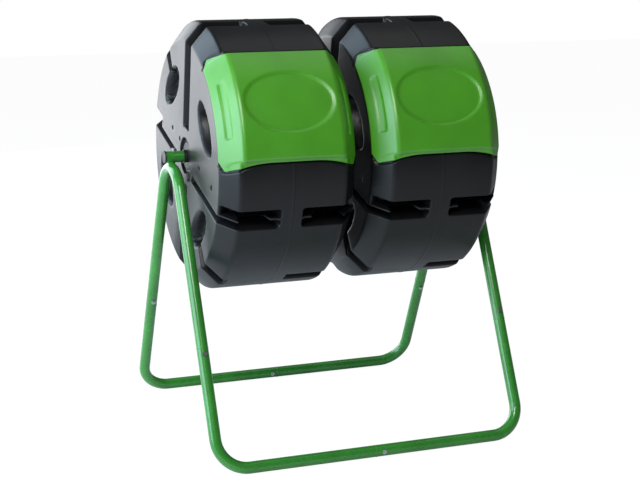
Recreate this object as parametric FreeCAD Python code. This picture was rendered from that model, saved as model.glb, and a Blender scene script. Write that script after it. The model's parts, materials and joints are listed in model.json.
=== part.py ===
"""Two-drum compost tumbler on a bolted tube stand, in millimetres.

+Z is up and +X runs along the axle. The origin is on the ground, under the middle of the axle, and the doors
face -Y. Each drum is two half shells screwed together on a slanting seam, with a pull-off door.
Angles round the axle are in degrees: 0 points to -Y, the front, and 90 points up.
"""

import FreeCAD
import Part
import math
import os

from FreeCAD import Vector

# Stand
AXLE_HEIGHT = 620.0
STAND_DEPTH = 644.0  # between the centres of the front and rear rails
TUBE_RADIUS = 12.5
TUBE_WALL = 1.2
ARCH_BEND = 72.0
CORNER_BEND = 65.0
LEG_JOINT_HEIGHT = 245.0
SPIGOT_LENGTH = 38.0
SPIGOT_CLEARANCE = 0.2
SPIGOT_WALL = 1.2
SHOULDER = 2.0
BUTT_GAP = 0.3

# Axle and what sits on it
AXLE_RADIUS = 9.5
AXLE_WALL = 1.5
SLEEVE_RADIUS = 12.5
SLEEVE_CLEARANCE = 0.3
SLEEVE_LENGTH = 40.0
SLEEVE_OVERHANG = 14.0  # how far a sleeve reaches outside the middle of its arch
WELD_RADIUS = 8.0
WELD_RISE = 4.0
CAP_RADIUS = 14.0
CAP_THICKNESS = 3.0
CAP_PLUG_LENGTH = 14.0
CAP_PLUG_CLEARANCE = 0.1
CAP_ROUNDING = 1.5
SPACER_RADIUS = 14.0
SPACER_CLEARANCE = 0.1
RUNNING_CLEARANCE = 0.1
END_FLOAT = 0.3

# Drum
DRUM_RADIUS = 291.5
DRUM_WIDTH = 296.0
DRUM_GAP = 39.0  # between the two drums
FRAME_GAP = 30.5  # from a drum's outer face to the centre of the side frame's tube
CHAMFER_RUN = 33.5  # along the axle
CHAMFER_RISE = 41.5  # across it
WALL = 4.0
SEAM_ANGLE = -17.8

# Grooves that stiffen the shells and mix the compost: slots across the barrel, and channels down the end faces
GROOVE_MOUTH = 22.0  # half the width at the surface
GROOVE_FLOOR = 10.0  # half the width at the floor
SLOT_DEPTH = 60.0
CHANNEL_DEPTH = 26.0
CHANNEL_START = 62.0
BRIDGE_WIDTH = 46.0
TOP_GROOVE_ANGLE = 80.0
BOTTOM_GROOVE_ANGLE = -100.0
SEAM_GROOVE_OFFSET = 13.5  # how far the two seam grooves lie below the seam

# Oval pockets in the end faces, with air vents in their floors
POCKET_RADIUS = 172.0  # from the axle to a pocket's middle
POCKET_HALF_LENGTH = 64.0
POCKET_HALF_WIDTH = 32.0
POCKET_DEPTH = 24.0
POCKET_LEAN = 11.0
POCKETS = ((25.8, POCKET_LEAN), (122.4, 0.0), (205.8, POCKET_LEAN), (302.4, 0.0))  # angle, lean of the long axis
RIM_NOTCH_ANGLES = (119.0, 299.0)
RIM_NOTCH_HALF_WIDTH = 17.0
RIM_NOTCH_DEPTH = 18.0
VENT_RADIUS = 3.5
VENT_PITCH = 26.0
VENT_COUNT = 4

# Hub
WELL_RADIUS = 40.0
WELL_DEPTH = 8.0
BUSH_FLANGE_RADIUS = 30.0
BUSH_FLANGE = 4.0
BUSH_RADIUS = 15.0
BUSH_SEAT_CLEARANCE = 0.2
BUSH_LENGTH = 34.0
BUSH_ROUNDING = 1.5
HUB_BOSS_RADIUS = 21.0
HUB_BOSS_LENGTH = 30.0
HUB_BOSS_CLEARANCE = 1.0

# Shell screws
SCREW_STATIONS = (-107.0, -48.0, 107.0, 198.0)  # along the seam, from the axle towards the front
SCREW_ABOVE_SEAM = 20.0
SCREW_BOSS_RADIUS = 9.0
SCREW_WELL_RADIUS = 6.0
SCREW_SHANK_RADIUS = 2.2
SCREW_HOLE_RADIUS = 2.5
SCREW_HEAD_RADIUS = 4.5
SCREW_HEAD_HEIGHT = 3.5
SCREW_HEAD_ROUNDING = 1.5
SCREW_BITE = 0.05  # clearance left for the screw's thread in its pilot hole
SCREW_LENGTH = 14.0
TONGUE_THICKNESS = 4.0
TONGUE_TOP = 31.0
TONGUE_FOOT = 20.0
TONGUE_STRIP_DROP = 3.0  # from the seam to the strip that joins a tongue to the lower shell
TONGUE_SPAN = (64.0, 222.0)
TONGUE_SPAN_REAR = (-130.0, -36.0)

# Door
DOOR_BOTTOM = 3.5
DOOR_TOP = 52.0
DOOR_THICKNESS = 3.0
DOOR_SEAT_GAP = 0.3
DOOR_EDGE_GAP = 1.0
DOOR_PROUD = 2.0  # how far the door's sheet stands out of the drum
DOOR_RISE = 10.0  # how far its panel does
DOOR_PANEL_HALF_WIDTH = 104.0
DOOR_PANEL_MARGIN = 4.0
DOOR_EAR_DROP = 5.0
DOOR_EAR_START = 118.0
DOOR_EAR_LAP = 1.0  # how far an ear runs up into the door's sheet, in degrees
DOOR_EAR_INSET = 12.0  # from the drum's face
OPENING_HALF_WIDTH = 94.0
OPENING_HALF_HEIGHT = 96.0
OPENING_CORNER = 25.0
SKIRT_CLEARANCE = 0.5
SKIRT_THICKNESS = 2.5
SKIRT_DEPTH = 14.0
PLAQUE_HALF_WIDTH = 96.0
PLAQUE_HALF_HEIGHT = 67.0
PLAQUE_DEPTH = 4.0
GRIP_HALF_LENGTH = 56.0
GRIP_HALF_WIDTH = 7.0
GRIP_CORNER = 6.5
GRIP_DEPTH = 1.8

# Stand fasteners
BOLT_RADIUS = 2.5
BOLT_HOLE_RADIUS = 2.75
BOLT_HEAD_RADIUS = 5.0
BOLT_HEAD_HEIGHT = 3.0
NUT_RADIUS = 5.0
NUT_HEIGHT = 4.0
BOLT_OVERHANG = 1.4  # what shows of a bolt past its nut
SADDLE_DEPTH = 0.6  # how far a head or a nut reaches down the sides of its tube
BOLT_FROM_BUTT = 15.0
SET_SCREW_RADIUS = 3.0
SET_SCREW_HEAD_RADIUS = 5.0
SET_SCREW_HEAD_HEIGHT = 4.0
SET_SCREW_NECK = 2.0
SET_SCREW_SOCKET = 2.5
SET_SCREW_SOCKET_FLOOR = 1.5

BEYOND = 20.0  # how far a cutter runs on past the surface that it cuts
JOIN = 1.0  # how far two shapes that are fused run into each other
FACE_SHIFT = 0.2  # keeps two fused faces from lying exactly on each other
ON_PLANE = 0.01  # how near an edge lies to the plane that it is on
SECTOR_STEPS = 4  # straight sides that a sector is closed with
HALF_DRUM = DRUM_WIDTH / 2
HALF_BARREL = HALF_DRUM - CHAMFER_RUN
FACE_RADIUS = DRUM_RADIUS - CHAMFER_RISE
DRUM_PITCH = DRUM_WIDTH + DRUM_GAP  # between the middles of the two drums
STAND_WIDTH = 2 * DRUM_WIDTH + DRUM_GAP + 2 * FRAME_GAP  # between the centres of the two side frames
DOOR_ANGLE = (DOOR_BOTTOM + DOOR_TOP) / 2
ORIGIN = Vector(0, 0, 0)
X_AXIS = Vector(1, 0, 0)
REACH = DRUM_RADIUS + STAND_WIDTH  # further than any part lies from the middle of the axle
SECTOR_REACH = REACH * 1.2  # to a sector's corners: the straight sides between them clear every part too
SLOT_FLOOR_RADIUS = DRUM_RADIUS - SLOT_DEPTH
SPACER_BORE = AXLE_RADIUS + SPACER_CLEARANCE


# Small helpers

def turned(shape, angle):
    """A copy of a shape drawn at the front, swung up round the axle by an angle."""
    copy = shape.copy()
    copy.rotate(ORIGIN, X_AXIS, -angle)
    return copy


def moved(shape, x, y, z):
    copy = shape.copy()
    copy.translate(Vector(x, y, z))
    return copy


def rod(start, direction, radius, length):
    return Part.makeCylinder(radius, length, start, direction)


def ring(start, direction, outer, inner, length):
    return rod(start, direction, outer, length).cut(rod(start, direction, inner, length))


def block(low, high):
    """A box between two corners."""
    size = [b - a for a, b in zip(low, high)]
    return Part.makeBox(*size, Vector(*low))


def prism(corners, direction):
    """A polygon swept along a vector."""
    points = [Vector(*c) for c in corners]
    return Part.Face(Part.makePolygon(points + points[:1])).extrude(direction)


def fused(shapes):
    first, *others = shapes
    return first.fuse(others) if others else first


def rounded_rim(disc, end_x, radius):
    """A disc whose edge at one X is rounded."""
    return disc.makeFillet(radius, [e for e in disc.Edges if e.BoundBox.XMin > end_x - ON_PLANE])


def mirrored_pair(shape):
    """A shape on a drum's +X side, with its mirror image on the other side."""
    return [shape, shape.mirror(ORIGIN, X_AXIS)]


# Drum outline

def outline(inset, face_inset):
    """Corners (x, r) of a drum's outline, from the barrel to the +X face, moved inwards."""
    slope = math.hypot(CHAMFER_RISE, CHAMFER_RUN)
    normal_x = CHAMFER_RISE / slope
    normal_r = CHAMFER_RUN / slope
    level = normal_x * HALF_BARREL + normal_r * DRUM_RADIUS - inset
    barrel_r = DRUM_RADIUS - inset
    face_x = HALF_DRUM - face_inset
    return (((level - normal_r * barrel_r) / normal_x, barrel_r), (face_x, (level - normal_x * face_x) / normal_r))


def spun(inset, face_inset):
    """A solid drum, moved inwards from the outline."""
    (barrel_x, barrel_r), (face_x, face_r) = outline(inset, face_inset)
    half = [(barrel_x, barrel_r), (face_x, face_r), (face_x, 0)]
    corners = [(-x, r) for x, r in reversed(half)] + half
    points = [Vector(x, 0, r) for x, r in corners]
    face = Part.Face(Part.makePolygon(points + points[:1]))
    return face.revolve(ORIGIN, X_AXIS, 360)


def sector(low, high, half_width=REACH):
    """Everything between two angles round the axle."""
    angles = [math.radians(low + (high - low) * i / SECTOR_STEPS) for i in range(SECTOR_STEPS + 1)]
    rim = [(-half_width, -SECTOR_REACH * math.cos(a), SECTOR_REACH * math.sin(a)) for a in angles]
    return prism([(-half_width, 0, 0)] + rim, Vector(2 * half_width, 0, 0))


# What is cut into a drum. Each cutter takes a growth, so that the cavity keeps a wall behind the cut.

def groove(angle, offset, growth):
    """One groove on both faces: a slot across the barrel and a channel down each face."""
    mouth = GROOVE_MOUTH + growth
    floor = GROOVE_FLOOR + growth
    flare = (GROOVE_MOUTH - GROOVE_FLOOR) / SLOT_DEPTH * BEYOND
    x_in = BRIDGE_WIDTH / 2 - growth
    depth_r = SLOT_FLOOR_RADIUS - growth
    top_r = DRUM_RADIUS + BEYOND
    slot = prism([(x_in, -depth_r, offset - floor), (x_in, -top_r, offset - mouth - flare),
                  (x_in, -top_r, offset + mouth + flare), (x_in, -depth_r, offset + floor)],
                 Vector(HALF_DRUM + BEYOND - x_in, 0, 0))
    floor_x = HALF_DRUM - CHANNEL_DEPTH - growth
    top_x = HALF_DRUM + BEYOND
    y_in = -(CHANNEL_START - growth)
    flare = (GROOVE_MOUTH - GROOVE_FLOOR) / CHANNEL_DEPTH * BEYOND
    channel = prism([(floor_x, y_in, offset - floor), (top_x, y_in, offset - mouth - flare),
                     (top_x, y_in, offset + mouth + flare), (floor_x, y_in, offset + floor)],
                    Vector(0, -(top_r + y_in), 0))
    return turned(fused(mirrored_pair(slot) + mirrored_pair(channel)), angle)


def grooves(growth):
    return [groove(TOP_GROOVE_ANGLE, 0, growth),
            groove(BOTTOM_GROOVE_ANGLE, 0, growth),
            groove(SEAM_ANGLE, -SEAM_GROOVE_OFFSET, growth),
            groove(SEAM_ANGLE + 180, SEAM_GROOVE_OFFSET, growth)]


def pocket_place(shape, angle, lean):
    """Puts something drawn on the axle at a pocket: leant, moved out and swung round."""
    copy = shape.copy()
    copy.rotate(ORIGIN, X_AXIS, lean)
    return turned(moved(copy, 0, -POCKET_RADIUS, 0), angle)


def pockets(growth):
    floor_x = HALF_DRUM - POCKET_DEPTH - growth
    oval = Part.Ellipse(Vector(floor_x, 0, POCKET_HALF_LENGTH + growth),
                        Vector(floor_x, POCKET_HALF_WIDTH + growth, 0), Vector(floor_x, 0, 0))
    face = Part.Face(Part.Wire(oval.toShape()))
    cut = face.extrude(Vector(POCKET_DEPTH + growth + BEYOND, 0, 0))
    placed = [pocket_place(cut, angle, lean) for angle, lean in POCKETS]
    notch_x = HALF_DRUM - RIM_NOTCH_DEPTH - growth
    half = RIM_NOTCH_HALF_WIDTH + growth
    notch = block((notch_x, -REACH, -half), (HALF_DRUM + BEYOND, -POCKET_RADIUS, half))
    placed += [turned(notch, angle) for angle in RIM_NOTCH_ANGLES]
    return [side for shape in placed for side in mirrored_pair(shape)]


def vents():
    """Rows of air holes through the pocket floors."""
    first = -VENT_PITCH * (VENT_COUNT - 1) / 2
    found = []
    for angle, lean in POCKETS:
        for i in range(VENT_COUNT):
            start = Vector(HALF_DRUM - POCKET_DEPTH - 2 * WALL, 0, first + i * VENT_PITCH)
            hole = rod(start, X_AXIS, VENT_RADIUS, 3 * WALL)
            found += mirrored_pair(pocket_place(hole, angle, lean))
    return found


def hub_wells(growth):
    start = Vector(HALF_DRUM - WELL_DEPTH - growth, 0, 0)
    return mirrored_pair(rod(start, X_AXIS, WELL_RADIUS + growth, WELL_DEPTH + growth + BEYOND))


def door_recess(growth):
    """The sunken seat for the door, over the barrel and both chamfers."""
    grow_angle = math.degrees(growth / FACE_RADIUS)
    gap_angle = math.degrees(DOOR_EDGE_GAP / FACE_RADIUS)
    inner = spun(DOOR_THICKNESS - DOOR_PROUD + DOOR_SEAT_GAP + growth, growth if growth else -BEYOND)
    outer = Part.makeCylinder(REACH, 2 * REACH, Vector(-REACH, 0, 0), X_AXIS)
    seat = sector(DOOR_BOTTOM - gap_angle - grow_angle, DOOR_TOP + gap_angle + grow_angle)
    parts = [seat.common(outer.cut(inner))]
    ear = sector(DOOR_BOTTOM - DOOR_EAR_DROP - gap_angle - grow_angle, DOOR_BOTTOM + DOOR_EAR_LAP)
    ear_x = DOOR_EAR_START - DOOR_EDGE_GAP - growth
    beside = block((ear_x, -REACH, -REACH), (REACH, 0, REACH))
    parts += mirrored_pair(ear.common(beside).common(outer.cut(inner)))
    return parts


def rounded_block(half_x, half_z, corner, low_y, high_y):
    """A box along Y with rounded corners, for the door's opening and skirt."""
    shape = block((-half_x, low_y, -half_z), (half_x, high_y, half_z))
    long_edges = [e for e in shape.Edges if abs(e.tangentAt(e.FirstParameter).y) > 0.99]
    return shape.makeFillet(corner, long_edges)


def door_opening():
    cut = rounded_block(OPENING_HALF_WIDTH, OPENING_HALF_HEIGHT, OPENING_CORNER, -REACH, -DRUM_RADIUS / 2)
    return turned(cut, DOOR_ANGLE)


# Shells

def screw_spots():
    """Each shell screw's (station, height) in the seam's own frame, on the +X face."""
    return [(-station, SCREW_ABOVE_SEAM) for station in SCREW_STATIONS]


def boss_floor():
    """Where the upper shell's screw bosses end, just outside the lower shell's tongues."""
    return HALF_DRUM - CHANNEL_DEPTH - WALL


def whole_shell():
    """Both half shells as one hollow drum."""
    outer = spun(0, 0).cut(grooves(0) + pockets(0) + hub_wells(0) + door_recess(0))
    cavity = spun(WALL, WALL).cut(grooves(WALL) + pockets(WALL) + hub_wells(WALL) + door_recess(WALL))
    start = Vector(HALF_DRUM - WELL_DEPTH - HUB_BOSS_LENGTH, 0, 0)
    bosses = mirrored_pair(rod(start, X_AXIS, HUB_BOSS_RADIUS, HUB_BOSS_LENGTH - WALL / 2))
    shell = outer.cut(cavity).fuse(bosses)
    hub_hole = rod(Vector(-REACH, 0, 0), X_AXIS, BUSH_RADIUS + BUSH_SEAT_CLEARANCE, 2 * REACH)
    return shell.cut([hub_hole, door_opening()] + vents())


def upper_shell(shell):
    half = turned(block((-REACH, -REACH, 0), (REACH, REACH, REACH)), SEAM_ANGLE)
    part = shell.common(half)
    floor_x = boss_floor()
    bosses = []
    holes = []
    for y, z in screw_spots():
        boss = rod(Vector(floor_x, y, z), X_AXIS, SCREW_BOSS_RADIUS, HALF_DRUM - WALL / 2 - floor_x)
        well = rod(Vector(floor_x + WALL, y, z), X_AXIS, SCREW_WELL_RADIUS, REACH)
        hole = rod(Vector(floor_x - WALL, y, z), X_AXIS, SCREW_HOLE_RADIUS, 3 * WALL)
        bosses += mirrored_pair(turned(boss, SEAM_ANGLE))
        holes += mirrored_pair(turned(well.fuse(hole), SEAM_ANGLE))
    clear = grooves(0) + hub_wells(0)
    kept = [boss.cut(clear) for boss in bosses]
    return part.fuse(kept).cut(holes)


def lower_shell(shell):
    half = turned(block((-REACH, -REACH, -REACH), (REACH, REACH, 0)), SEAM_ANGLE)
    part = shell.common(half)
    outer_x = boss_floor() - BUTT_GAP
    inner_x = outer_x - TONGUE_THICKNESS
    tongues = []
    for low, high in (TONGUE_SPAN, TONGUE_SPAN_REAR):
        plate = block((inner_x, -high, -TONGUE_FOOT), (outer_x, -low, TONGUE_TOP))
        strip = block((outer_x - JOIN, -high, -TONGUE_FOOT), (outer_x + JOIN, -low, -TONGUE_STRIP_DROP))
        tongues += mirrored_pair(turned(plate.fuse(strip), SEAM_ANGLE))
    pilots = []
    for y, z in screw_spots():
        start = Vector(inner_x - TONGUE_THICKNESS, y, z)
        pilot = rod(start, X_AXIS, SCREW_SHANK_RADIUS + SCREW_BITE, 3 * TONGUE_THICKNESS)
        pilots += mirrored_pair(turned(pilot, SEAM_ANGLE))
    hub_space = rod(Vector(-REACH, 0, 0), X_AXIS, HUB_BOSS_RADIUS + HUB_BOSS_CLEARANCE, 2 * REACH)
    kept = [tongue.cut(hub_space) for tongue in tongues]
    return part.fuse(kept).cut(pilots)


def shell_screws():
    head_x = boss_floor() + WALL
    found = []
    for y, z in screw_spots():
        shank = rod(Vector(head_x - SCREW_LENGTH, y, z), X_AXIS, SCREW_SHANK_RADIUS, SCREW_LENGTH)
        head = rod(Vector(head_x, y, z), X_AXIS, SCREW_HEAD_RADIUS, SCREW_HEAD_HEIGHT)
        head = rounded_rim(head, head_x + SCREW_HEAD_HEIGHT, SCREW_HEAD_ROUNDING)
        found += mirrored_pair(turned(shank.fuse(head).removeSplitter(), SEAM_ANGLE))
    return Part.makeCompound(found)


def bushing():
    """The +X bushing of a drum: a barrel in the hub and a flange in the well."""
    seat_x = HALF_DRUM - WELL_DEPTH
    barrel = rod(Vector(seat_x - BUSH_LENGTH, 0, 0), X_AXIS, BUSH_RADIUS, BUSH_LENGTH)
    flange = rod(Vector(seat_x, 0, 0), X_AXIS, BUSH_FLANGE_RADIUS, BUSH_FLANGE)
    flange = rounded_rim(flange, seat_x + BUSH_FLANGE, BUSH_ROUNDING)
    bore = rod(Vector(-REACH, 0, 0), X_AXIS, AXLE_RADIUS + RUNNING_CLEARANCE, 2 * REACH)
    return barrel.fuse(flange).cut(bore).removeSplitter()


# Door

def door_grips():
    """A shallow finger slot on each flap, square to the chamfer."""
    tilt = math.degrees(math.atan2(CHAMFER_RUN, CHAMFER_RISE))
    middle_x = (HALF_BARREL + HALF_DRUM) / 2
    middle_r = (DRUM_RADIUS + FACE_RADIUS) / 2 + DOOR_PROUD
    slot = rounded_block(GRIP_HALF_WIDTH, GRIP_HALF_LENGTH, GRIP_CORNER, -BEYOND, 0)
    slot.rotate(ORIGIN, Vector(0, 0, 1), 90 - tilt)
    sink = middle_r - GRIP_DEPTH
    chord = GRIP_HALF_LENGTH ** 2 / (2 * middle_r)
    return mirrored_pair(turned(moved(slot, middle_x, -sink + chord, 0), DOOR_ANGLE))


def door():
    """A thin cover that follows the barrel and both chamfers, with a raised hollow panel and a skirt."""
    band = spun(-DOOR_PROUD, 0).cut(spun(DOOR_THICKNESS - DOOR_PROUD, -BEYOND))
    span = sector(DOOR_BOTTOM, DOOR_TOP)
    ear = sector(DOOR_BOTTOM - DOOR_EAR_DROP, DOOR_BOTTOM + DOOR_EAR_LAP)
    beside = block((DOOR_EAR_START, -REACH, -REACH), (HALF_DRUM - DOOR_EAR_INSET, 0, REACH))
    sheet = fused([band.common(span)] + mirrored_pair(band.common(ear).common(beside)))

    low = DOOR_BOTTOM + DOOR_PANEL_MARGIN - DOOR_ANGLE
    high = -low
    panel_r = DRUM_RADIUS + DOOR_RISE
    inner_r = panel_r - DOOR_THICKNESS
    wall_angle = math.degrees(DOOR_THICKNESS / panel_r)

    def tablet(r_in, r_out, half_width, low_angle, high_angle):
        hoop = ring(Vector(-half_width, 0, 0), X_AXIS, r_out, r_in, 2 * half_width)
        return hoop.common(sector(low_angle, high_angle))

    sheet_r = DRUM_RADIUS + DOOR_PROUD - DOOR_THICKNESS
    panel = tablet(sheet_r, panel_r, DOOR_PANEL_HALF_WIDTH, low, high)
    hollow = tablet(sheet_r - DOOR_THICKNESS, inner_r, DOOR_PANEL_HALF_WIDTH - DOOR_THICKNESS,
                    low + wall_angle, high - wall_angle)

    def plaque(growth, r_in, r_out):
        oval = Part.Ellipse(Vector(PLAQUE_HALF_WIDTH + growth, 0, 0), Vector(0, 0, PLAQUE_HALF_HEIGHT + growth),
                            ORIGIN)
        drum = Part.Face(Part.Wire(oval.toShape())).extrude(Vector(0, -REACH, 0))
        return drum.common(ring(Vector(-REACH, 0, 0), X_AXIS, r_out, r_in, 2 * REACH))

    floor_r = panel_r - PLAQUE_DEPTH
    backing = plaque(DOOR_THICKNESS - FACE_SHIFT, floor_r - DOOR_THICKNESS, inner_r + JOIN)
    sunk = plaque(0, floor_r, panel_r + BEYOND)

    skirt_x = OPENING_HALF_WIDTH - SKIRT_CLEARANCE
    skirt_z = OPENING_HALF_HEIGHT - SKIRT_CLEARANCE
    corner = OPENING_CORNER - SKIRT_CLEARANCE
    deep = -(DRUM_RADIUS - SKIRT_DEPTH - (DRUM_RADIUS - math.sqrt(DRUM_RADIUS ** 2 - skirt_z ** 2)))
    skirt = rounded_block(skirt_x, skirt_z, corner, -REACH, deep)
    skirt = skirt.cut(rounded_block(skirt_x - SKIRT_THICKNESS, skirt_z - SKIRT_THICKNESS,
                                    corner - SKIRT_THICKNESS, -REACH - BEYOND, deep + BEYOND))
    under = Part.makeCylinder(inner_r + JOIN, 2 * REACH, Vector(-REACH, 0, 0), X_AXIS)
    skirt = skirt.common(under)

    raised = turned(panel, DOOR_ANGLE)
    hidden = turned(hollow, DOOR_ANGLE)
    cover = sheet.fuse(raised).cut(hidden)
    cover = cover.fuse([turned(backing, DOOR_ANGLE), turned(skirt, DOOR_ANGLE)])
    return cover.cut([turned(sunk, DOOR_ANGLE)] + door_grips()).removeSplitter()


# Stand

def leg_slope():
    """The angle of a leg from upright: it runs from its rail and is tangent to the arch's bend."""
    bend_height = AXLE_HEIGHT - SLEEVE_RADIUS - TUBE_RADIUS - ARCH_BEND
    depth = STAND_DEPTH / 2
    height = bend_height - TUBE_RADIUS
    return math.atan2(depth, height) - math.asin(ARCH_BEND / math.hypot(depth, height))


def apex_height():
    """Where the lines of a front and a rear leg would cross."""
    return TUBE_RADIUS + STAND_DEPTH / 2 / math.tan(leg_slope())


def leg_point(height, front):
    """A point on a leg's centre line: front is -1 for a front leg and 1 for a rear one."""
    return Vector(0, front * (apex_height() - height) * math.tan(leg_slope()), height)


def bent_path(points, radius):
    """Straight runs through the points, with an arc of one radius at each inner point."""
    edges = []
    start = points[0]
    for before, corner, after in zip(points, points[1:], points[2:]):
        back = (before - corner).normalize()
        on = (after - corner).normalize()
        half = back.getAngle(on) / 2
        tangent = radius / math.tan(half)
        middle = (back + on).normalize() * (radius / math.sin(half) - radius)
        enter = corner + back * tangent
        leave = corner + on * tangent
        edges.append(Part.LineSegment(start, enter).toShape())
        edges.append(Part.Arc(enter, corner + middle, leave).toShape())
        start = leave
    edges.append(Part.LineSegment(start, points[-1]).toShape())
    return Part.Wire(edges)


def swept(path, radius):
    edge = path.Edges[0]
    start = edge.valueAt(edge.FirstParameter)
    direction = edge.tangentAt(edge.FirstParameter)
    profile = Part.Wire(Part.Circle(start, direction, radius).toShape())
    return path.makePipeShell([profile], True, False)


def bent_tube(points, radius):
    path = bent_path(points, radius)
    return swept(path, TUBE_RADIUS).cut(swept(path, TUBE_RADIUS - TUBE_WALL))


def spigot(end, direction):
    """A swaged end: a shoulder that closes the tube's wall, and a thinner stub that enters the next tube."""
    outer = TUBE_RADIUS - TUBE_WALL - SPIGOT_CLEARANCE
    inner = outer - SPIGOT_WALL
    collar = ring(end - direction * SHOULDER, direction, TUBE_RADIUS, inner, SHOULDER)
    stub = ring(end - direction * SHOULDER, direction, outer, inner, SHOULDER + SPIGOT_LENGTH)
    return collar.fuse(stub)


def cross_bolt_hole(point, direction):
    return rod(point - direction * 2 * TUBE_RADIUS, direction, BOLT_HOLE_RADIUS, 4 * TUBE_RADIUS)


def leg_axis(front):
    """Unit vector up a leg."""
    return Vector(0, -front * math.sin(leg_slope()), math.cos(leg_slope()))


def leg_bolt_axis(front):
    """Unit vector across a leg, in the side frame's plane, that points outwards."""
    return Vector(0, front * math.cos(leg_slope()), math.sin(leg_slope()))


def joint_bolts():
    """Each tube joint's bolt as (point on the centre line, direction its head faces)."""
    found = []
    for side, front, below in ((-1, -1, 1), (-1, 1, -1), (1, -1, -1), (1, 1, 1)):
        butt = leg_point(LEG_JOINT_HEIGHT, front) + Vector(side * STAND_WIDTH / 2, 0, 0)
        found.append((butt - leg_axis(front) * (below * BOLT_FROM_BUTT), leg_bolt_axis(front)))
    return found


def rail_bolts():
    found = []
    for front in (-1, 1):
        point = Vector(-front * BOLT_FROM_BUTT, front * STAND_DEPTH / 2, TUBE_RADIUS)
        found.append((point, Vector(0, front, 0)))
    return found


def arch(side):
    """An upside-down V over one end of the axle. One of its ends is swaged and the other takes a swaged end."""
    shift = Vector(side * STAND_WIDTH / 2, 0, 0)
    swaged = -1 if side < 0 else 1
    points = [leg_point(LEG_JOINT_HEIGHT, -1), Vector(0, 0, apex_height()), leg_point(LEG_JOINT_HEIGHT, 1)]
    tube = bent_tube([p + shift for p in points], ARCH_BEND)
    tube = tube.fuse(spigot(leg_point(LEG_JOINT_HEIGHT, swaged) + shift, leg_axis(swaged) * -1))
    return tube.cut([cross_bolt_hole(p, d) for p, d in joint_bolts()])


def lower_leg(side, front):
    """The lower half of a leg with half a rail, bent at the corner."""
    shift = Vector(side * STAND_WIDTH / 2, 0, 0)
    up = leg_axis(front)
    takes_arch = side == front
    rail_middle = Vector(side * BUTT_GAP / 2, front * STAND_DEPTH / 2, TUBE_RADIUS)
    top = leg_point(LEG_JOINT_HEIGHT, front) + shift - up * BUTT_GAP
    corner = Vector(side * STAND_WIDTH / 2, front * STAND_DEPTH / 2, TUBE_RADIUS)
    tube = bent_tube([top, corner, rail_middle], CORNER_BEND)
    if takes_arch:
        tube = tube.fuse(spigot(rail_middle, X_AXIS * -side))
    else:
        tube = tube.fuse(spigot(top, up))
    return tube.cut([cross_bolt_hole(p, d) for p, d in joint_bolts() + rail_bolts()])


def tube_line(point, facing):
    """The direction of the tube that a bolt crosses: a rail near the middle of the stand, and a leg at its sides."""
    return facing.cross(X_AXIS) if abs(point.x) > STAND_WIDTH / 4 else X_AXIS


def tube_at(point, facing):
    line = tube_line(point, facing)
    return rod(point - line * TUBE_RADIUS, line, TUBE_RADIUS, 2 * TUBE_RADIUS)


def bolts(places):
    """Round-headed bolts, with the head's underside shaped to the tube."""
    found = []
    for point, facing in places:
        length = 2 * TUBE_RADIUS + NUT_HEIGHT + BOLT_OVERHANG
        shank = rod(point + facing * TUBE_RADIUS, facing * -1, BOLT_RADIUS, length)
        seat = point + facing * (TUBE_RADIUS - SADDLE_DEPTH)
        head = rod(seat, facing, BOLT_HEAD_RADIUS, BOLT_HEAD_HEIGHT)
        found.append(head.cut(tube_at(point, facing)).fuse(shank).removeSplitter())
    return Part.makeCompound(found)


def nuts(places):
    found = []
    for point, facing in places:
        start = point - facing * (TUBE_RADIUS + NUT_HEIGHT - SADDLE_DEPTH)
        side = tube_line(point, facing)
        other = facing.cross(side)
        corners = [start + (side * math.cos(a) + other * math.sin(a)) * NUT_RADIUS
                   for a in (math.radians(60 * i) for i in range(6))]
        nut = Part.Face(Part.makePolygon(corners + corners[:1])).extrude(facing * NUT_HEIGHT)
        bore = rod(start - facing * NUT_HEIGHT, facing, BOLT_RADIUS + SCREW_BITE, 3 * NUT_HEIGHT)
        found.append(nut.cut([tube_at(point, facing), bore]))
    return Part.makeCompound(found)


# Axle

def sleeve_ends():
    """The inner and outer X of the right-hand sleeve."""
    outer = STAND_WIDTH / 2 + SLEEVE_OVERHANG
    return outer - SLEEVE_LENGTH, outer


def on_side(shape, side):
    """A piece drawn for the right-hand end, or its mirror image for the left."""
    return shape if side > 0 else shape.mirror(ORIGIN, X_AXIS)


def sleeve(side):
    """A short tube welded on an arch, which holds the axle."""
    inner_x, outer_x = sleeve_ends()
    tube = rod(Vector(inner_x, 0, AXLE_HEIGHT), X_AXIS, SLEEVE_RADIUS, outer_x - inner_x)
    arch_top = AXLE_HEIGHT - SLEEVE_RADIUS - TUBE_RADIUS
    weld = rod(Vector(STAND_WIDTH / 2, 0, arch_top), Vector(0, 0, 1), WELD_RADIUS, TUBE_RADIUS + WELD_RISE)
    bend = Part.makeTorus(ARCH_BEND, TUBE_RADIUS, Vector(STAND_WIDTH / 2, 0, arch_top - ARCH_BEND), X_AXIS)
    bore = rod(Vector(0, 0, AXLE_HEIGHT), X_AXIS, AXLE_RADIUS + SLEEVE_CLEARANCE, REACH)
    screw_x = (inner_x + outer_x) / 2
    hole = rod(Vector(screw_x, 0, AXLE_HEIGHT), Vector(0, 0, 1), SET_SCREW_RADIUS + SCREW_BITE, REACH)
    return on_side(tube.fuse(weld.cut(bend)).cut([bore, hole]).removeSplitter(), side)


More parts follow.
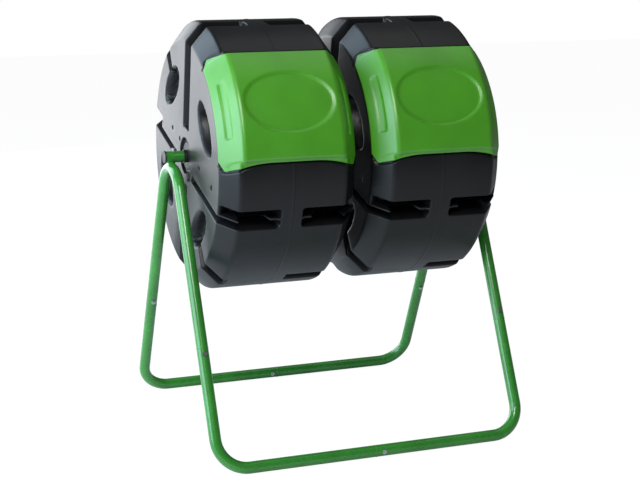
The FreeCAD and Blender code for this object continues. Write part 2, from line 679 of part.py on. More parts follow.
def set_screws():
    inner_x, outer_x = sleeve_ends()
    found = []
    for side in (-1, 1):
        foot = Vector(side * (inner_x + outer_x) / 2, 0, AXLE_HEIGHT + AXLE_RADIUS + SCREW_BITE)
        length = SLEEVE_RADIUS - AXLE_RADIUS + SET_SCREW_NECK
        shank = rod(foot, Vector(0, 0, 1), SET_SCREW_RADIUS, length)
        head = rod(foot + Vector(0, 0, length), Vector(0, 0, 1), SET_SCREW_HEAD_RADIUS, SET_SCREW_HEAD_HEIGHT)
        socket_foot = foot + Vector(0, 0, length + SET_SCREW_SOCKET_FLOOR)
        socket = rod(socket_foot, Vector(0, 0, 1), SET_SCREW_SOCKET, SET_SCREW_HEAD_HEIGHT)
        found.append(shank.fuse(head).cut(socket).removeSplitter())
    return Part.makeCompound(found)


def axle():
    half = sleeve_ends()[1]
    start = Vector(-half, 0, AXLE_HEIGHT)
    return ring(start, X_AXIS, AXLE_RADIUS, AXLE_RADIUS - AXLE_WALL, 2 * half)


def end_cap(side):
    """A plug in the axle's end, with a disc that covers the sleeve's mouth."""
    outer_x = sleeve_ends()[1]
    disc = rod(Vector(outer_x, 0, AXLE_HEIGHT), X_AXIS, CAP_RADIUS, CAP_THICKNESS)
    disc = rounded_rim(disc, outer_x + CAP_THICKNESS, CAP_ROUNDING)
    plug_radius = AXLE_RADIUS - AXLE_WALL - CAP_PLUG_CLEARANCE
    plug = rod(Vector(outer_x - CAP_PLUG_LENGTH, 0, AXLE_HEIGHT), X_AXIS, plug_radius, CAP_PLUG_LENGTH)
    return on_side(disc.fuse(plug).removeSplitter(), side)


def bush_face():
    """How far a bushing's flange reaches from the middle of its drum."""
    return HALF_DRUM - WELL_DEPTH + BUSH_FLANGE


def outer_spacer(side):
    low = DRUM_PITCH / 2 + bush_face() + END_FLOAT
    high = sleeve_ends()[0] - END_FLOAT
    return on_side(ring(Vector(low, 0, AXLE_HEIGHT), X_AXIS, SPACER_RADIUS, SPACER_BORE, high - low), side)


def middle_spacer():
    half = DRUM_PITCH / 2 - bush_face() - END_FLOAT
    return ring(Vector(-half, 0, AXLE_HEIGHT), X_AXIS, SPACER_RADIUS, SPACER_BORE, 2 * half)


def drum_nodes():
    """The pieces of one drum, round the X axis."""
    shell = whole_shell()
    bush = bushing()
    return {"upper_shell": upper_shell(shell), "lower_shell": lower_shell(shell), "shell_screws": shell_screws(),
            "bushing_right": bush, "bushing_left": bush.mirror(ORIGIN, X_AXIS), "door": door()}


def all_nodes():
    nodes = {"left_arch": arch(-1), "right_arch": arch(1), "left_axle_sleeve": sleeve(-1),
             "right_axle_sleeve": sleeve(1), "front_left_leg": lower_leg(-1, -1), "front_right_leg": lower_leg(1, -1),
             "rear_left_leg": lower_leg(-1, 1), "rear_right_leg": lower_leg(1, 1),
             "leg_bolts": bolts(joint_bolts()), "leg_nuts": nuts(joint_bolts()),
             "rail_bolts": bolts(rail_bolts()), "rail_nuts": nuts(rail_bolts()),
             "sleeve_set_screws": set_screws(), "axle_tube": axle(), "middle_spacer": middle_spacer(),
             "left_outer_spacer": outer_spacer(-1), "right_outer_spacer": outer_spacer(1),
             "left_end_cap": end_cap(-1), "right_end_cap": end_cap(1)}
    pieces = drum_nodes()
    for name, side in (("left", -1), ("right", 1)):
        for piece, shape in pieces.items():
            nodes[f"{name}_{piece}"] = moved(shape, side * DRUM_PITCH / 2, 0, AXLE_HEIGHT)
    return nodes


def main():
    os.makedirs("parts", exist_ok=True)
    for name, shape in all_nodes().items():
        solids = shape.Solids
        wrong = [s for s in solids if not s.isValid() or s.Volume <= 0]
        print(f"{name}: {len(solids)} solids, {sum(s.Volume for s in solids) / 1000:.1f} cm3",
              "INVALID" if wrong else "")
        shape.exportStep(f"parts/{name}.step")


main()
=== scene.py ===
"""Looks of a two-drum compost tumbler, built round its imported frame. Lengths are in metres.

Angles round the axle are in degrees: 0 points to -Y, the front, and 90 points up.
"""

import json
import math

import bmesh
import bpy
from bpy.props import FloatProperty, FloatVectorProperty, PointerProperty
from mathutils import Euler, Matrix, Vector


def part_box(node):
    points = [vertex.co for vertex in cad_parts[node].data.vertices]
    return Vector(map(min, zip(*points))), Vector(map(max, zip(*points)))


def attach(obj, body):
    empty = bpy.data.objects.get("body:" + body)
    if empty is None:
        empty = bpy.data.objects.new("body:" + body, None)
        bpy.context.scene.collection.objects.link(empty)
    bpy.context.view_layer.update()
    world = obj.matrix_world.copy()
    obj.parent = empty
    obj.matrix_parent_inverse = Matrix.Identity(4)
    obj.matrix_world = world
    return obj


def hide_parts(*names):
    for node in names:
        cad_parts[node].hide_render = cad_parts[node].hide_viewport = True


bl_info = {
    "name": "Compost tumbler",
    "version": (1, 0, 0),
    "blender": (4, 5, 0),
    "location": "3D View > Sidebar > Tumbler",
    "description": "Builds the drums, doors and finishes of a compost tumbler round its frame",
    "category": "Object",
}

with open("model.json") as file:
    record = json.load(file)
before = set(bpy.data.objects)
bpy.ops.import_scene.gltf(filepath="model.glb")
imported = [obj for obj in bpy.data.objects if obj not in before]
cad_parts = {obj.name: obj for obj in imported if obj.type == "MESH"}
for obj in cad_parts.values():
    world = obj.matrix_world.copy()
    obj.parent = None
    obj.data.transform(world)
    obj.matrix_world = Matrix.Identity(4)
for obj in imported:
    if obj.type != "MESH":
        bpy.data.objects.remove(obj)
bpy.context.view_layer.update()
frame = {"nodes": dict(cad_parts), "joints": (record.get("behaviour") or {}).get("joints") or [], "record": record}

SIDES = ("left", "right")
MM = 0.001
DEGREE = math.radians(1)
HINGE = next(j for j in frame["joints"] if j["name"] == "left_drum_spin")
AXLE_Z = HINGE["pos_m"][2]
LIFT = next(j for j in frame["joints"] if j["name"] == "left_door_lift")
DOOR_ANGLE = math.degrees(math.atan2(LIFT["axis"][2], -LIFT["axis"][1]))


# Settings

PREFIX = "tumbler_"


def amount(name, default, description, unit="NONE"):
    return FloatProperty(name=name, default=default, description=description, unit=unit)


def length(name, default, description):
    return amount(name, default, description, "LENGTH")


def paint(name, default, description):
    return FloatVectorProperty(name=name, default=default, description=description, subtype="COLOR")


class DrumSettings(bpy.types.PropertyGroup):
    radius: length("Radius", 0.2915, "Of the barrel")
    half_width: length("Half width", 0.148, "From the middle to a face")
    chamfer_run: length("Chamfer along", 0.0335, "Along the axle")
    chamfer_rise: length("Chamfer across", 0.0415, "Across the axle")
    shoulder: length("Shoulder", 0.013, "Rounding where barrel meets chamfer")
    rim: length("Rim", 0.009, "Rounding where chamfer meets face")
    wall: length("Wall", 0.0038, "Thickness of the plastic")
    seam: amount("Seam angle", -17.8, "Of the seam at the front")
    parting: length("Parting line", 0.0007, "Height of the mould's parting line")
    well_radius: length("Hub well", 0.040, "Radius of the hub's well")
    well_depth: length("Hub well depth", 0.008, "Depth of the hub's well")
    bore: length("Hub hole", 0.0152, "Radius of the hole for the bushing")


class GrooveSettings(bpy.types.PropertyGroup):
    mouth: length("Mouth", 0.022, "Half the width at the surface")
    floor: length("Floor", 0.010, "Half the width at the floor")
    slot: length("Slot depth", 0.060, "Depth across the barrel")
    channel: length("Channel depth", 0.026, "Depth down a face")
    start: length("Channel start", 0.062, "From the axle to the channel")
    bridge: length("Bridge", 0.023, "Half the width left standing on the barrel")
    top: amount("Top groove", 80.0, "Angle of the upper shell's own groove")
    bottom: amount("Bottom groove", 260.0, "Angle of the lower shell's own groove")
    end: length("End", 0.008, "Width that the wall at a groove's end takes")
    above_fin: amount("Above fin", 0.75, "Share of the depth of the groove above the seam's fin")
    fin_drop: amount("Fin drop", 0.62, "Share of the depth by which the fin lies lower in a slot")
    step: length("Rear step", 0.055, "How far in from the rim the rear seam grooves are open")
    notch: length("Notch", 0.018, "Half the width of a rim notch")
    notch_depth: length("Notch depth", 0.018, "Depth of a rim notch")
    bead: amount("Seam lip", 0.02, "Share of the depth by which the seam's lip stands out")


class PocketSettings(bpy.types.PropertyGroup):
    out: length("Distance", 0.172, "From the axle to the middle")
    half_length: length("Half length", 0.064, "Half the long axis")
    half_width: length("Half width", 0.032, "Half the short axis")
    depth: length("Depth", 0.029, "Depth below the face")
    slope: length("Wall slope", 0.0075, "Width that the wall takes")
    vent: length("Vent", 0.0035, "Radius of an air vent")
    vent_pitch: length("Vent pitch", 0.026, "Between two vents")


class DoorSettings(bpy.types.PropertyGroup):
    panel_radius: length("Panel radius", 0.3015, "From the axle to the panel")
    panel_half_width: length("Panel half width", 0.1080, "To the crease")
    flap_end_x: length("Flap end", 0.1490, "How far the flap reaches sideways")
    flap_end_r: length("Flap end radius", 0.2525, "From the axle to the flap's end")
    crease: length("Crease", 0.014, "Radius of the bend between panel and flap")
    bottom: amount("Bottom", 3.7, "Angle of the bottom edge")
    top: amount("Top", 52.2, "Angle of the top edge")
    thickness: length("Thickness", 0.003, "Of the plastic")
    pillow: length("Pillow edge", 0.0045, "Width of the step at the panel's edges")
    pillow_drop: length("Pillow drop", 0.008, "Height of that step")
    rim: length("Rim", 0.0022, "Width of the flat rim outside that step")
    plaque_half_width: length("Plaque half width", 0.098, "Of the oval recess")
    plaque_half_height: length("Plaque half height", 0.067, "Of the oval recess")
    plaque_depth: length("Plaque depth", 0.004, "Of the oval recess")
    grip_depth: length("Grip depth", 0.0024, "Of the finger slots in the flaps")


class FinishSettings(bpy.types.PropertyGroup):
    shell: paint("Shell", (0.0085, 0.0088, 0.0098), "Colour of the drums' plastic")
    door: paint("Door", (0.092, 0.45, 0.015), "Colour of the doors' plastic")
    coat: paint("Coat", (0.045, 0.33, 0.035), "Colour of the stand's powder coat")
    zinc: paint("Zinc", (0.62, 0.63, 0.64), "Colour of the plated bolts")
    trim: paint("Trim", (0.010, 0.010, 0.011), "Colour of the bushings, spacers and caps")


class StageSettings(bpy.types.PropertyGroup):
    eye: FloatVectorProperty(name="Camera", description="Place of the camera", subtype="XYZ", unit="LENGTH",
                             default=(-1.1703, -3.0811, 1.0622))
    turn: FloatVectorProperty(name="Camera turn", description="Pitch, roll and yaw in degrees",
                              default=(78.82, 0.22, -20.80))
    lens: amount("Lens", 83.07, "Focal length in millimetres")


def settings(name):
    return getattr(bpy.context.scene, PREFIX + name)


# Small helpers

def soft(value, low, high):
    """0 below low and 1 above high, with a smooth rise between them."""
    share = min(1.0, max(0.0, (value - low) / (high - low)))
    return share * share * (3 - 2 * share)


def ramp(share, ease=0.17):
    """A straight rise from 0 to 1 whose two corners are rounded over a small share of it."""
    if share > 0.5:
        return 1 - ramp(1 - share, ease)
    if share <= -ease:
        return 0.0
    if share < ease:
        return (share + ease) ** 2 / (4 * ease)
    return share


def wall_weight(share):
    """How deep a groove is at a share of the way down its wall: a rounded lip, a straight wall and a soft foot."""
    lip, foot = 0.275, 0.15
    if share <= -lip:
        return 0.0
    if share < 0.05:
        return (1 - math.sqrt(1 - (3 * (share + lip)) ** 2)) / 15
    if share < 1 - foot:
        return share
    if share < 1 + foot:
        return 1 - (1 + foot - share) ** 2 / (4 * foot)
    return 1.0


def cornered(a, b):
    """The share of the way in past two walls that meet in a rounded corner."""
    if a < 1 and b < 1:
        return 1 - math.hypot(1 - a, 1 - b)
    return min(a, b)


def mixed(a, b, share):
    return a + (b - a) * share


def steps(low, high, count):
    """Evenly spaced values from low up to, but not including, high."""
    return [low + (high - low) * i / count for i in range(count)]


def at_angle(x, radius, angle):
    """The point at a distance from the axle and an angle round it."""
    turn = math.radians(angle)
    return Vector((x, -radius * math.cos(turn), radius * math.sin(turn)))


def angle_of(point):
    return math.degrees(math.atan2(point.z, -point.y))


def arc(centre, radius, start, end, count):
    """Points (x, r) along an arc, from its start angle to its end, both included. 90 degrees points outwards."""
    found = []
    for i in range(count + 1):
        turn = math.radians(mixed(start, end, i / count))
        found.append((centre[0] + radius * math.cos(turn), centre[1] + radius * math.sin(turn)))
    return found


def placed(name, data):
    """A new object in the scene."""
    thing = bpy.data.objects.new(name, data)
    bpy.context.scene.collection.objects.link(thing)
    return thing


def finished(bm, name, materials, body, replaced=()):
    """Makes a piece of a bmesh, which rides on a body."""
    mesh = bpy.data.meshes.new(name)
    bm.to_mesh(mesh)
    bm.free()
    for polygon in mesh.polygons:
        polygon.use_smooth = True
    piece = placed(name, mesh)
    for material in materials:
        mesh.materials.append(material)
    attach(piece, body)
    if replaced:
        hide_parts(*replaced)
    return piece


def spun_grid(outline, spread, count):
    """Spins an outline of (x, r) points round the axle. Lists each vertex with its point's and its line's number."""
    bm = bmesh.new()
    number = bm.verts.layers.int.new("station")
    chain = []
    for i, (x, r) in enumerate(outline):
        vert = bm.verts.new(at_angle(x, r, 0))
        vert[number] = i
        chain.append(vert)
    edges = [bm.edges.new(pair) for pair in zip(chain, chain[1:])]
    bmesh.ops.spin(bm, geom=chain + edges, cent=(0, 0, 0), axis=(-1, 0, 0), angle=math.radians(spread),
                   steps=count - 1, use_merge=False, use_duplicate=False)
    step = spread / (count - 1)
    return bm, [(vert, vert[number], round(angle_of(vert.co) % 360 / step)) for vert in bm.verts]


def face_outwards(bm, outwards):
    """Turns a sheet's faces so that most of a sample of them agree with a direction function."""
    bmesh.ops.recalc_face_normals(bm, faces=bm.faces)
    bm.normal_update()
    vote = sum(f.normal.dot(outwards(f.calc_center_median())) for f in list(bm.faces)[::97])
    if vote < 0:
        bmesh.ops.reverse_faces(bm, faces=bm.faces)


def thicken(piece, wall, edge):
    """Gives a sheet its wall, inwards, and rounds the edges where the wall is cut off square."""
    solid = piece.modifiers.new("wall", "SOLIDIFY")
    solid.thickness = wall
    solid.offset = -1
    solid.use_even_offset = False
    bevel = piece.modifiers.new("edges", "BEVEL")
    bevel.width = edge
    bevel.segments = 2
    bevel.limit_method = "ANGLE"
    bevel.angle_limit = math.radians(80)


def open_hole(bm, faces, inside, snapped):
    """Deletes the faces inside an outline and moves the hole's rim on to the outline. Returns the rim's edges."""
    doomed = [f for f in faces if f.is_valid and inside(f.calc_center_median())]
    gone = set(doomed)
    rim = {e for f in doomed for e in f.edges if sum(g in gone for g in e.link_faces) == 1}
    rim = [e for e in rim if len(e.link_faces) == 2]
    bmesh.ops.delete(bm, geom=doomed, context="FACES")
    for vert in {v for e in rim for v in e.verts}:
        vert.co = snapped(vert.co)
    return rim


# Drums

# Where the lines of a groove's wall lie, as shares of the way down it: they run past its lip and its foot.
WALL_SHARES = (-0.4, -0.28, -0.19, -0.1, -0.03, 0.02, 0.06, 0.3, 0.6, 0.85, 0.95, 1.05, 1.16)
POCKET_BAND = (0.209, 0.135)  # the part of a face, from the axle, where the lines lie closer
HUB_EDGE = 47 * MM            # the last line before the hub's well
WELL_LINES = (0.029, 0.022)   # lines on the well's floor


def drum_stations(drum, groove):
    """The outline from the barrel's middle to the +X hub, as (place on the surface, place in a groove) pairs."""
    radius = drum.radius
    half = drum.half_width
    barrel_end = half - drum.chamfer_run
    face_r = radius - drum.chamfer_rise
    tilt = math.degrees(math.atan2(drum.chamfer_rise, drum.chamfer_run))
    reach = drum.shoulder * math.tan(math.radians(tilt) / 2)
    rim_reach = drum.rim * math.tan(math.radians(90 - tilt) / 2)
    floor_r = radius - groove.slot
    floor_x = half - groove.channel
    corner = 12 * MM

    turn_x = barrel_end - reach
    barrel = [0, 1.2 * MM, 5 * MM, 12 * MM]
    barrel += [groove.bridge + groove.end * share for share in WALL_SHARES]
    barrel += steps(barrel[-1] + 5 * MM, turn_x - 2 * MM, 9)
    found = [((x, radius + (drum.parting if x == 0 else 0)), (x, radius - groove.slot)) for x in barrel]

    turns = [(turn_x - 2 * MM, radius)]
    turns += arc((barrel_end - reach, radius - drum.shoulder), drum.shoulder, 90, 90 - tilt, 5)
    rim_arc = arc((half - drum.rim, face_r - rim_reach), drum.rim, 90 - tilt, 0, 5)
    start, end = turns[-1], rim_arc[0]
    turns += [(mixed(start[0], end[0], i / 7), mixed(start[1], end[1], i / 7)) for i in range(1, 7)]
    turns += rim_arc
    inner = arc((floor_x - corner, floor_r - corner), corner, 90, 0, len(turns) - 1)
    found += list(zip(turns, inner))

    outer_r = turns[-1][1]
    inner_r = inner[-1][1]
    foot = groove.start + 1.3 * groove.end
    band_out, band_in = POCKET_BAND
    down = steps(outer_r, band_out, 7)[1:] + steps(band_out, band_in, 20) + steps(band_in, foot, 9)
    down += [groove.start + groove.end * share for share in WALL_SHARES[::-1]]
    down += [groove.start - 0.6 * groove.end, HUB_EDGE]
    for r in down:
        share = max(0.0, (r - foot) / (outer_r - foot))
        groove_r = r if r <= foot else mixed(foot, inner_r, share)
        found.append(((half, r), (half - groove.channel, groove_r)))

    lip = 1.5 * MM
    well = [(half, drum.well_radius + 2 * lip), (half, drum.well_radius + lip),
            (half - 0.3 * lip, drum.well_radius + 0.3 * lip), (half - lip, drum.well_radius),
            (half - drum.well_depth + lip, drum.well_radius - 0.3 * lip),
            (half - drum.well_depth, drum.well_radius - lip)]
    well += [(half - drum.well_depth, r) for r in (*WELL_LINES, drum.bore)]
    found += [(place, place) for place in well]
    return found


def both_sides(stations):
    """Stations from the -X hub to the +X hub."""
    left = [((-x, r), (-gx, gr)) for (x, r), (gx, gr) in stations[:0:-1]]
    return left + stations


LINE_NEAREST = 0.056        # nearer the axle than this, a groove's lines run straight to it
NOTCH_NEAREST = 0.3         # the same for a notch's lines: all of the way
HUB_TURN = (0.08, 0.15)     # where a notch's lines bend over from their angle at the hub


class Line:
    """A line of the grid, from hub to hub: beside a groove it keeps its distance from the groove's middle."""

    def __init__(self, centre, shift, nearest, share=-1.0, above=-1.0, fin=False, through=False, notch=0.0,
                 hub_centre=None):
        self.centre = centre
        self.shift = shift
        self.nearest = nearest
        self.share = share  # how far past the groove's walls the line lies
        self.above = above  # the same for the part of a seam groove above its fin
        self.fin = fin  # whether the line lies on the seam's fin
        self.through = through  # whether the whole slot is open to the faces, for a step in from the rim
        self.notch = notch  # how deep in a rim notch the line lies, from 0 to 1
        self.hub_centre = hub_centre

    def angle(self, radius):
        centre = self.centre
        if self.hub_centre:
            centre = mixed(self.hub_centre, centre, soft(radius, *HUB_TURN))
        return centre + math.degrees(math.asin(self.shift / max(radius, self.nearest)))


class BetweenLine:
    """A line at a share of the way between two others."""

    share = above = -1.0
    fin = through = False
    notch = 0.0

    def __init__(self, before, after, part):
        self.before = before
        self.after = after
        self.part = part

    def angle(self, radius):
        return mixed(self.before.angle(radius), self.after.angle(radius), self.part)


def groove_lines(centre, groove):
    """The lines of a groove with two like walls."""
    wall = groove.mouth - groove.floor
    side = [(groove.mouth - wall * share, share) for share in WALL_SHARES]
    on_floor = 1.5
    found = [Line(centre, -t, LINE_NEAREST, share) for t, share in side]
    found += [Line(centre, t, LINE_NEAREST, on_floor) for t in (-0.4 * groove.floor, 0.4 * groove.floor)]
    return found + [Line(centre, t, LINE_NEAREST, share) for t, share in side[::-1]]


SEAM_TOP = 8.5 * MM        # a seam groove's upper edge, above the seam
SEAM_TOP_RUN = 4.5 * MM    # and the width that its wall takes
FIN_TOP = -13.2 * MM       # the fin that the lower half carries along the groove
FIN_BOTTOM = -16.8 * MM
FIN_RUN = 1.1 * MM
FIN_SHARES = (-0.28, -0.1, 0.06, 0.5, 0.95, 1.16)
SEAM_FOOT = -35.5 * MM     # the groove's lower edge
SEAM_FOOT_RUN = 9.0 * MM
# The other lines of a seam groove: beyond its edges, on the floors above and below the fin, and on the fin's top.
SEAM_BEYOND = (12.5 * MM, -40.4 * MM)
ABOVE_FIN_LINES = (1.6 * MM, 0.0, -3 * MM, -7 * MM, -10.5 * MM)
ON_FIN_LINES = (-14.2 * MM, -15 * MM, -15.8 * MM)
BELOW_FIN_LINES = (-19.5 * MM, -22.5 * MM)


def seam_heights():
    """The heights of a seam groove's lines above the seam, from the highest down."""
    top, bottom = SEAM_BEYOND
    found = [top] + [SEAM_TOP - SEAM_TOP_RUN * share for share in WALL_SHARES]
    found += ABOVE_FIN_LINES
    found += [FIN_TOP + FIN_RUN * share for share in FIN_SHARES[::-1]]
    found += ON_FIN_LINES
    found += [FIN_BOTTOM - FIN_RUN * share for share in FIN_SHARES]
    found += BELOW_FIN_LINES
    return found + [SEAM_FOOT + SEAM_FOOT_RUN * share for share in WALL_SHARES[::-1]] + [bottom]


def seam_lines(centre, towards_top, upper):
    """The lines of one half shell's share of a seam groove: a slot, the seam's fin, then a deeper slot below it.

    The fin is only there at the front. At the rear the whole slot is open to the faces near the rim.
    """
    rear = towards_top < 0
    found = []
    for t in seam_heights():
        if (t < 0) if upper else (t > 0):
            continue
        from_top, from_foot = (SEAM_TOP - t) / SEAM_TOP_RUN, (t - SEAM_FOOT) / SEAM_FOOT_RUN
        share = min((FIN_BOTTOM - t) / FIN_RUN, from_foot)
        above = min(from_top, from_foot if rear else (t - FIN_TOP) / FIN_RUN)
        fin = not rear and FIN_BOTTOM - 0.3 * FIN_RUN <= t <= FIN_TOP + 0.3 * FIN_RUN
        found.append(Line(centre, towards_top * t, LINE_NEAREST, share, above, fin, rear))
    return found if rear else found[::-1]


def notch_lines(centre, hub_centre, groove):
    """The lines of a notch across the rim."""
    wall = 5 * MM
    side = [(groove.notch - wall * share, wall_weight(share)) for share in WALL_SHARES[1:12:2]]
    places = [(-t, weight) for t, weight in side] + [(0, 1.0)] + side[::-1]
    return [Line(centre, t, NOTCH_NEAREST, notch=weight, hub_centre=hub_centre) for t, weight in places]


UPPER_NOTCH = (119.0, 124.0)  # the angle of a half shell's notch at the rim, and of its lines at the hub
LOWER_NOTCH = (299.0, 295.0)
# The angles of the lines between the seam and the top groove: closer where the door's edges cross the shell.
UPPER_FRONT_ANGLES = (*steps(-16, -2, 10), *steps(-2, 6, 20), *steps(6, 50, 32), *steps(50, 58, 20), *steps(58, 76, 13))


def shell_lines(drum, groove, upper):
    """All lines of one half shell, in the order of their angles. Each count is of lines, or a list of angles."""
    seam = drum.seam
    if upper:
        runs = [seam_lines(seam, 1, True), groove_lines(groove.top, groove),
                notch_lines(*UPPER_NOTCH, groove), seam_lines(seam + 180, -1, True)]
        counts = (UPPER_FRONT_ANGLES, 20, 22)
    else:
        runs = [seam_lines(seam + 180, -1, False), groove_lines(groove.bottom, groove),
                notch_lines(*LOWER_NOTCH, groove), seam_lines(seam + 360, 1, False)]
        counts = (58, 18, 16)
    lines = list(runs[0])
    for run, count in zip(runs[1:], counts):
        before = lines[-1]
        if isinstance(count, int):
            parts = [i / count for i in range(1, count)]
        else:
            low, high = before.angle(drum.radius), run[0].angle(drum.radius)
            parts = [(angle - low) / (high - low) for angle in count if low + 0.5 < angle < high - 0.5]
        lines += [BetweenLine(before, run[0], part) for part in parts]
        lines += run
    return lines


POCKETS = ((25.8, 11.0), (122.4, 0.0), (205.8, 11.0), (302.4, 0.0))  # angle, and lean of the long axis


def pocket_frame(pocket, angle, lean):
    """The middle of a pocket, and its long and short directions, in the plane of a face."""
    centre = at_angle(0, pocket.out, angle)
    along = at_angle(0, 1, angle + 90 + lean)
    return centre, along, along.cross(Vector((1, 0, 0)))


def pocket_weight(pocket, frames, point):
    """How far down a point of a face is pushed by the pockets, from 0 to 1."""
    weight = 0.0
    for centre, along, short in frames:
        away = point - centre
        a = away.dot(along) / pocket.half_length
        b = away.dot(short) / pocket.half_width
        size = math.hypot(a, b)
        if size > 1.2:
            continue
        steep = math.hypot(a / pocket.half_length, b / pocket.half_width) / max(size, 1e-6)
        weight = max(weight, ramp((1 - size) / max(steep, 1e-6) / pocket.slope, 0.3))
    return weight


# Places across a drum, from its middle, between which something comes or goes.
FIN_DROPS = (0.048, 0.056)      # the seam's fin drops into the slot
FIN_RISES = (0.108, 0.115)      # and comes up again at the rim
FIN_SAG, FIN_SAG_ENDS = 0.08, (0.1, 0.116)  # share of the depth that it lies lower before the rim
BEAD_STARTS = (0.112, 0.118)    # the seam's lip
NOTCH_STARTS = (0.108, 0.122)   # a notch
NOTCH_SLOT_STARTS = (0.028, 0.037)  # the slot that runs on from a notch over the barrel, on the +X side
NOTCH_SLOT_DEPTH = 0.021

POCKET_REACH = (0.09, 0.25)     # the part of a face, from the axle, that the pockets lie in
SEAT_GAP, SEAT_GAP_MORE = 0.55, 0.5  # degrees between a door's edge and its seat's, and how many more over the flaps
SEAT_WIDENS = (0.09, 0.12)
SEAT_WALL = 0.3                 # degrees that the wall of a door's seat takes
SEAT_DEPTH = 5 * MM
BARREL_FROM = 0.25              # a seat is only sunk into what lies further from the axle


def groove_weight(drum, groove, line, place):
    """How far a point of the grid is pushed towards the grooves' floors, from 0 to 1."""
    x, r = abs(place[0]), place[1]
    on_face = x >= drum.half_width
    past_end = (r - groove.start) / groove.end if on_face else (x - groove.bridge) / groove.end
    weight = wall_weight(cornered(past_end, line.share))
    if line.through:
        past_step = (r - drum.radius + drum.chamfer_rise + groove.step) / groove.end
        reach = min(past_end, past_step) if on_face else past_end
        return max(weight, wall_weight(cornered(reach, line.above)))
    outside = 1 - soft(x, drum.half_width - 11 * MM, drum.half_width - 1.5 * MM)
    weight = max(weight, groove.above_fin * outside * wall_weight(cornered(past_end, line.above)))
    if line.fin:
        away = soft(x, *FIN_DROPS) - soft(x, *FIN_RISES)
        drop = max(FIN_SAG * (1 - soft(x, *FIN_SAG_ENDS)), groove.fin_drop * away)
        weight = max(weight, drop * wall_weight(past_end)) - groove.bead * soft(x, *BEAD_STARTS)
    return weight


def shaped(drum, groove, pocket, door, frames, line, place, deep):
    """Where a point of the grid ends up, once every groove, notch, pocket and the door's seat has pushed it."""
    weight = groove_weight(drum, groove, line, place)
    x = mixed(place[0], deep[0], weight)
    r = mixed(place[1], deep[1], weight)
    side = math.copysign(1, x)
    sunk = 0.0
    if line.notch and place[1] > pocket.out:
        sunk = groove.notch_depth * line.notch * soft(abs(x), *NOTCH_STARTS)
        slot = line.notch * soft(x, *NOTCH_SLOT_STARTS)
        r = mixed(r, min(r, drum.radius - NOTCH_SLOT_DEPTH), slot)
    angle = line.angle(r)
    flat = at_angle(0, r, angle)
    if abs(place[0]) >= drum.half_width and POCKET_REACH[0] < place[1] < POCKET_REACH[1]:
        sunk = max(sunk, pocket.depth * pocket_weight(pocket, frames, flat) * (1 - weight))
    x -= side * sunk
    gap = SEAT_GAP + SEAT_GAP_MORE * soft(abs(x), *SEAT_WIDENS)
    bottom, top = door_edges(door, x)
    seat = soft(angle, bottom - gap - SEAT_WALL, bottom - gap) - soft(angle, top + gap, top + gap + SEAT_WALL)
    if seat > 0 and place[1] > BARREL_FROM and abs(place[0]) < drum.half_width:
        r -= SEAT_DEPTH * seat
    return at_angle(x, r, angle)


OPENING = (0.094, 0.096, 0.025)  # half its width and height, and its corners' radius, seen square to the door
SKIRT = (0.0932, 0.0952, 0.0242)  # the same for the door's skirt, which fills it


def door_hole():
    """Tests and snaps points to the door's opening, a rounded rectangle seen square to the door."""
    half_x, half_v, corner = OPENING
    out = at_angle(0, 1, DOOR_ANGLE)
    up = at_angle(0, 1, DOOR_ANGLE + 90)

    def beyond(point):
        """How far outside the corner-rounded rectangle a point is, and the way to its outline."""
        x = abs(point.x) - (half_x - corner)
        v = abs(point.dot(up)) - (half_v - corner)
        if x > 0 and v > 0:
            return math.hypot(x, v) - corner, x, v
        return max(x, v) - corner, x, v

    def inside(point):
        return point.dot(out) > 0.1 and beyond(point)[0] < 0

    def snapped(point):
        gap, x, v = beyond(point)
        if x > 0 and v > 0:
            scale = corner / math.hypot(x, v)
            x, v = x * scale, v * scale
        elif x > v:
            x = corner
        else:
            v = corner
        new_x = math.copysign(half_x - corner + x, point.x)
        new_v = math.copysign(half_v - corner + v, point.dot(up))
        radius = math.hypot(point.y, point.z)
        return Vector((new_x, 0, 0)) + up * new_v + out * math.sqrt(radius * radius - new_v * new_v)

    return inside, snapped


def round_hole(centre, radius):
    """Tests and snaps points to a round hole in an end face."""
    def offset(point):
        away = point - centre
        away.x = 0
        return away

    def inside(point):
        return point.x * centre.x > 0 and offset(point).length < radius * 1.12 and abs(point.x - centre.x) < 0.02

    def snapped(point):
        return Vector((point.x, centre.y, centre.z)) + offset(point).normalized() * radius

    return inside, snapped


SCREW_STATIONS = (-0.107, -0.048, 0.107, 0.198)  # along the seam, from the axle towards the front
SCREW_ABOVE_SEAM = 0.020
SCREW_WELL = 0.006
SCREW_WELL_DEPTH = 0.016
VENTS = 4  # in each pocket's floor


def screw_places(drum, side):
    """The middles of the screw wells in one face."""
    along = at_angle(0, 1, drum.seam)
    above = at_angle(0, 1, drum.seam + 90)
    face = Vector((side * drum.half_width, 0, 0))
    return [face + along * station + above * SCREW_ABOVE_SEAM for station in SCREW_STATIONS]


def sink_well(bm, rim, side, depth):
    """Draws a hole's rim down into a blind well with a floor."""
    made = bmesh.ops.extrude_edge_only(bm, edges=rim)["geom"]
    verts = [g for g in made if isinstance(g, bmesh.types.BMVert)]
    edges = [g for g in made if isinstance(g, bmesh.types.BMEdge)]
    bmesh.ops.translate(bm, verts=verts, vec=(-side * depth, 0, 0))
    loop = [e for e in edges if len(e.link_faces) == 1]
    bmesh.ops.contextual_create(bm, geom=loop)


